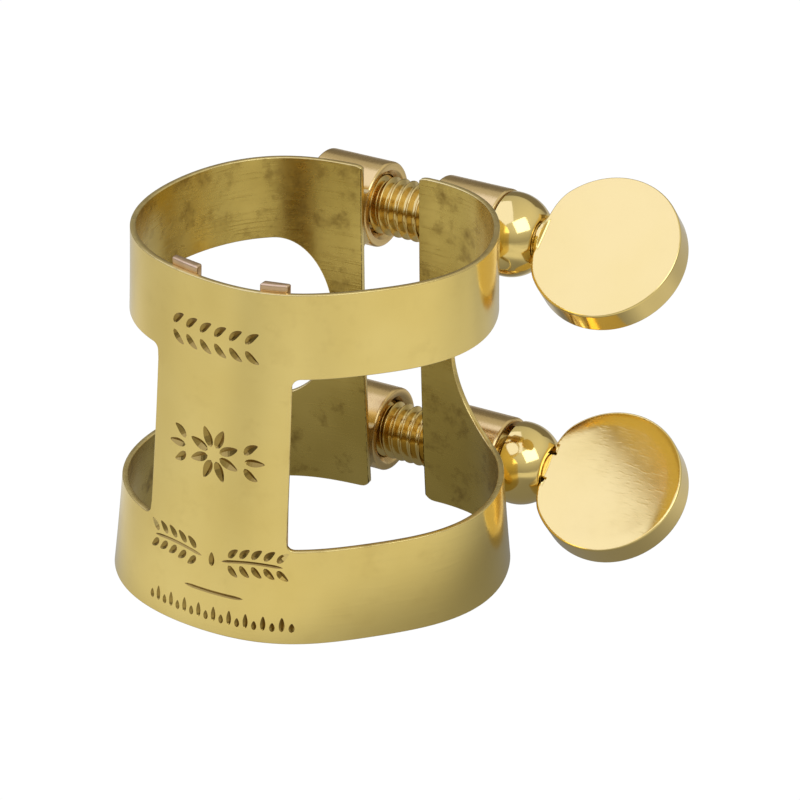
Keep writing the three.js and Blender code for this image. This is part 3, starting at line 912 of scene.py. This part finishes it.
def surface_nets(f, lo, hi, h):
    nx, ny, nz = [int(math.ceil((b - a) / h)) + 1 for a, b in zip(lo, hi)]
    g = np.stack(np.meshgrid(lo[0] + h * np.arange(nx), lo[1] + h * np.arange(ny), lo[2] + h * np.arange(nz), indexing="ij"), -1)
    v = f(g)
    s = v < 0
    pos = np.zeros((nx - 1, ny - 1, nz - 1, 3))
    cnt = np.zeros((nx - 1, ny - 1, nz - 1))
    for ax in range(3):
        a = [slice(None)] * 3
        b = [slice(None)] * 3
        a[ax], b[ax] = slice(0, -1), slice(1, None)
        va, vb = v[tuple(a)], v[tuple(b)]
        cross = s[tuple(a)] != s[tuple(b)]
        t = np.where(cross, va / np.where(cross, va - vb, 1), 0)
        p = g[tuple(a)].copy()
        p[..., ax] += t * h
        o = [i for i in range(3) if i != ax]
        for d0 in (0, 1):
            for d1 in (0, 1):
                src = [slice(None)] * 3
                src[o[0]] = slice(d0, v.shape[o[0]] - 1 + d0)
                src[o[1]] = slice(d1, v.shape[o[1]] - 1 + d1)
                c = cross[tuple(src)]
                pos += np.where(c[..., None], p[tuple(src)], 0)
                cnt += c
    used = cnt > 0
    idx = -np.ones(used.shape, np.int64)
    idx[used] = np.arange(used.sum())
    verts = pos[used] / cnt[used][:, None]
    faces = []
    for ax in range(3):
        o = [(ax + 1) % 3, (ax + 2) % 3]
        a = [slice(None)] * 3
        b = [slice(None)] * 3
        a[ax], b[ax] = slice(0, -1), slice(1, None)
        cross = s[tuple(a)] != s[tuple(b)]
        sign = s[tuple(a)]
        ii = np.argwhere(cross)
        for i in ii:
            if i[o[0]] == 0 or i[o[1]] == 0 or i[o[0]] >= v.shape[o[0]] - 1 or i[o[1]] >= v.shape[o[1]] - 1:
                continue
            q = []
            for d0, d1 in ((-1, -1), (0, -1), (0, 0), (-1, 0)):
                k = list(i)
                k[o[0]] += d0
                k[o[1]] += d1
                q.append(idx[tuple(k)])
            if not sign[tuple(i)]:
                q = q[::-1]
            faces.append(tuple(q))
    return verts, faces


def gradient(f, p, e=1e-3):
    g = np.zeros_like(p)
    for ax in range(3):
        d = np.zeros(3)
        d[ax] = e
        g[:, ax] = (f(p + d) - f(p - d)) / (2 * e)
    return g


def build_paddle(name, face, y, z, offset, lift, shift):
    f = paddle_field(offset, lift, shift)
    # the grid lies along the paddle's own faces
    st, ct = math.sin(TILT), math.cos(TILT)
    Rm = np.array([[1, 0, 0], [0, ct, st], [0, -st, ct]])          # rows: u, v, w axes

    def fl(q):
        return f(q @ Rm)

    lo = np.array([1.7, -PADDLE_R - 0.3 + min(shift, 0), -2.3])
    hi = np.array([offset + PADDLE_R + 0.3, PADDLE_R + 0.3 + max(shift, 0), PADDLE_T / 2 + abs(lift) + 0.9])
    step = 0.085
    v, faces = surface_nets(fl, lo, hi, step)
    for _ in range(4):
        g = gradient(fl, v)
        d = fl(v)
        n2 = np.maximum((g * g).sum(1), 0.2)
        v = v - np.clip(d / n2, -0.05, 0.05)[:, None] * g
    n = gradient(fl, v, 2e-3)
    n /= np.linalg.norm(n, axis=1, keepdims=True) + 1e-12
    p = v @ Rm + np.array([face, y, z])
    ob = add_mesh(name, p, faces)
    me = ob.data
    lv = np.zeros(len(me.loops), np.int64)
    me.loops.foreach_get("vertex_index", lv)
    nn = (n @ Rm)[lv]
    me.normals_split_custom_set([tuple(q) for q in nn])
    me.materials.append(MATS["screw"])
    return ob


# ---------------------------------------------------------------------- stage
def link(t, a, b):
    t.links.new(a, b)


def span_node(t, fac, lo, hi, out_lo, out_hi):
    n = t.nodes.new("ShaderNodeMapRange")
    n.interpolation_type = "SMOOTHSTEP"
    for k, v in (("From Min", lo), ("From Max", hi), ("To Min", out_lo), ("To Max", out_hi)):
        n.inputs[k].default_value = v
    link(t, fac, n.inputs["Value"])
    return n.outputs["Result"]


def calc(t, op, a, b):
    n = t.nodes.new("ShaderNodeMath")
    n.operation = op
    for sock, v in ((n.inputs[0], a), (n.inputs[1], b)):
        if isinstance(v, (int, float)):
            sock.default_value = v
        else:
            link(t, v, sock)
    return n.outputs[0]


def glow(name, corners, strength, color=(1, 1, 1)):
    m = bpy.data.materials.new(name)
    m.use_nodes = True
    t = m.node_tree
    t.nodes.clear()
    out = t.nodes.new("ShaderNodeOutputMaterial")
    em = t.nodes.new("ShaderNodeEmission")
    em.inputs["Color"].default_value = (*color, 1.0)
    em.inputs["Strength"].default_value = strength
    link(t, em.outputs["Emission"], out.inputs["Surface"])
    me = bpy.data.meshes.new(name)
    me.from_pydata(corners, [], [(0, 1, 2, 3)])
    me.materials.append(m)
    ob = bpy.data.objects.new(name, me)
    bpy.context.scene.collection.objects.link(ob)
    ob.visible_camera = False
    return ob


def softbox(name, direction, dist, size, strength, color=(1, 1, 1), aim=(0, 0, 0.012)):
    d = Vector(direction).normalized()
    c = Vector(aim) + d * dist
    x = d.cross(Vector((0, 0, 1))).normalized()
    y = x.cross(d).normalized()
    a, b = size[0] / 2, size[1] / 2
    return glow(name, [tuple(c + x * i * a + y * j * b) for i, j in ((-1, -1), (1, -1), (1, 1), (-1, 1))], strength, color)


def build_stage():
    m = bpy.data.materials.new("floor_white")
    m.use_nodes = True
    t = m.node_tree
    t.nodes.clear()
    out = t.nodes.new("ShaderNodeOutputMaterial")
    em = t.nodes.new("ShaderNodeEmission")
    co = t.nodes.new("ShaderNodeTexCoord")
    no = t.nodes.new("ShaderNodeTexNoise")
    no.inputs["Scale"].default_value = 22.0
    no.inputs["Detail"].default_value = 1.0
    link(t, co.outputs["Object"], no.inputs["Vector"])
    sep = t.nodes.new("ShaderNodeSeparateXYZ")
    link(t, co.outputs["Object"], sep.inputs[0])
    across = calc(t, "ADD", span_node(t, sep.outputs["X"], -0.030, 0.045, 0.66, 0.72), span_node(t, sep.outputs["Y"], 0.0, 0.050, 0.0, -0.20))
    # the table is shaded under the band, and darker behind it and far to the right
    dx, dy = calc(t, "SUBTRACT", sep.outputs["X"], 0.004), calc(t, "SUBTRACT", sep.outputs["Y"], 0.006)
    away = calc(t, "ADD", calc(t, "MULTIPLY", dx, dx), calc(t, "MULTIPLY", dy, dy))
    across = calc(t, "ADD", across, span_node(t, away, 0.0002, 0.0008, -0.38, 0.0))
    across = calc(t, "ADD", across, span_node(t, sep.outputs["X"], 0.05, 0.25, 0.0, -0.28))
    # the table is bright to the eye and calmer in the reflections
    calm = calc(t, "ADD", across, span_node(t, no.outputs["Fac"], 0.3, 0.7, -0.06, 0.08))
    lp = t.nodes.new("ShaderNodeLightPath")
    seen = lp.outputs["Is Camera Ray"]
    strength = calc(t, "ADD", calc(t, "MULTIPLY", seen, 1.02), calc(t, "MULTIPLY", calc(t, "SUBTRACT", 1.0, seen), calm))
    em.inputs["Color"].default_value = (1.0, 1.0, 1.0, 1.0)
    link(t, strength, em.inputs["Strength"])
    link(t, em.outputs["Emission"], out.inputs["Surface"])
    me = bpy.data.meshes.new("floor")
    s, zf = 1.6, -0.0022
    me.from_pydata([(-s, -s, zf), (s, -s, zf), (s, s, zf), (-s, s, zf)], [], [(0, 1, 2, 3)])
    me.materials.append(m)
    ob = bpy.data.objects.new("floor", me)
    bpy.context.scene.collection.objects.link(ob)

    w = bpy.data.worlds.new("studio")
    bpy.context.scene.world = w
    w.use_nodes = True
    t = w.node_tree
    bg = t.nodes["Background"]
    co = t.nodes.new("ShaderNodeTexCoord")
    sep = t.nodes.new("ShaderNodeSeparateXYZ")
    link(t, co.outputs["Generated"], sep.inputs[0])
    high = span_node(t, sep.outputs["Z"], -0.1, 0.75, 0.22, 0.62)
    side = span_node(t, sep.outputs["X"], -0.8, 0.8, -0.10, 0.12)
    lp = t.nodes.new("ShaderNodeLightPath")
    seen = lp.outputs["Is Camera Ray"]
    v = calc(t, "ADD", calc(t, "MULTIPLY", seen, 1.02), calc(t, "MULTIPLY", calc(t, "SUBTRACT", 1.0, seen), calc(t, "ADD", high, side)))
    bg.inputs["Color"].default_value = (1.0, 1.0, 1.0, 1.0)
    link(t, v, bg.inputs["Strength"])

    softbox("softbox_top", (-0.45, -0.30, 0.84), 0.55, (0.86, 0.80), 1.64, (0.63, 0.677, 1.0))
    softbox("softbox_right", (0.67, -0.28, 0.69), 0.60, (0.42, 0.36), 2.9, (0.72, 0.80, 1.0))
    softbox("card_back", (-0.25, 1.0, 0.28), 0.55, (0.55, 0.35), 0.20, (1.0, 0.93, 0.82))


# ------------------------------------------------------------------- assembly
def own(ob, slot, body, *nodes):
    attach(ob, body)
    if nodes:
        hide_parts(*nodes)


set_camera()
build_materials()
build_stage()

sheet = build_sheet()
engrave(sheet)
angles, _depth = sheet_finish(sheet)
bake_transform(sheet)
wt = np.clip((np.degrees(angles) - 27.0) / 9.0, 0, 1)
wt = wt * wt * (3 - 2 * wt)
wt[angles <= 0] = 0.0
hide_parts("band_left", "band_right")

own(build_rail("reed_rail_left", -4.55, -2.30, -0.19), "rail", "band", "left_reed_rail")
own(build_rail("reed_rail_right", 2.35, 4.08, 0.22), "rail", "band", "right_reed_rail")

L0, L1, R0, R1 = -SPLIT_HALF - POST_LEN, -SPLIT_HALF, SPLIT_HALF, SPLIT_HALF + POST_LEN
for tag, y, z in (("upper", UPPER_Y, UPPER_Z), ("lower", LOWER_Y, LOWER_Z)):
    own(build_post(tag + "_post_threaded", L0, L1, y, z, 2.05, True, 1), "post", "band", tag + "_threaded_post")
    own(build_post(tag + "_post_guide", R0, R1, y, z, 2.30, False, 1), "post", "flex_side", tag + "_guide_post")
    own(build_solder(tag + "_solder_left", -1, y, z), "post", "band")
    own(build_solder(tag + "_solder_right", 1, y, z), "post", "flex_side")

for tag, face, y, z, offset, lift, shift in (("upper", FACE_UPPER, UPPER_Y, UPPER_Z, 7.595, 0.33, 0.138), ("lower", FACE_LOWER, LOWER_Y, LOWER_Z, 7.25, 0.0, 0.0)):
    s1, s2 = build_shank(tag + "_shank", face, y, z)
    own(s1, "screw", tag + "_screw", tag + "_screw_shank")
    own(s2, "screw", tag + "_screw")
    own(build_ball(tag + "_ball", face, y, z), "screw", tag + "_collar", tag + "_ball_collar")
    own(build_paddle(tag + "_paddle", face, y, z, offset, lift, shift), "screw", tag + "_screw", tag + "_thumb_paddle")

sc = bpy.context.scene
sc.view_settings.view_transform = "Standard"
sc.view_settings.look = "None"
sc.view_settings.exposure = 0.0
sc.view_settings.gamma = 1.0

bpy.context.view_layer.update()
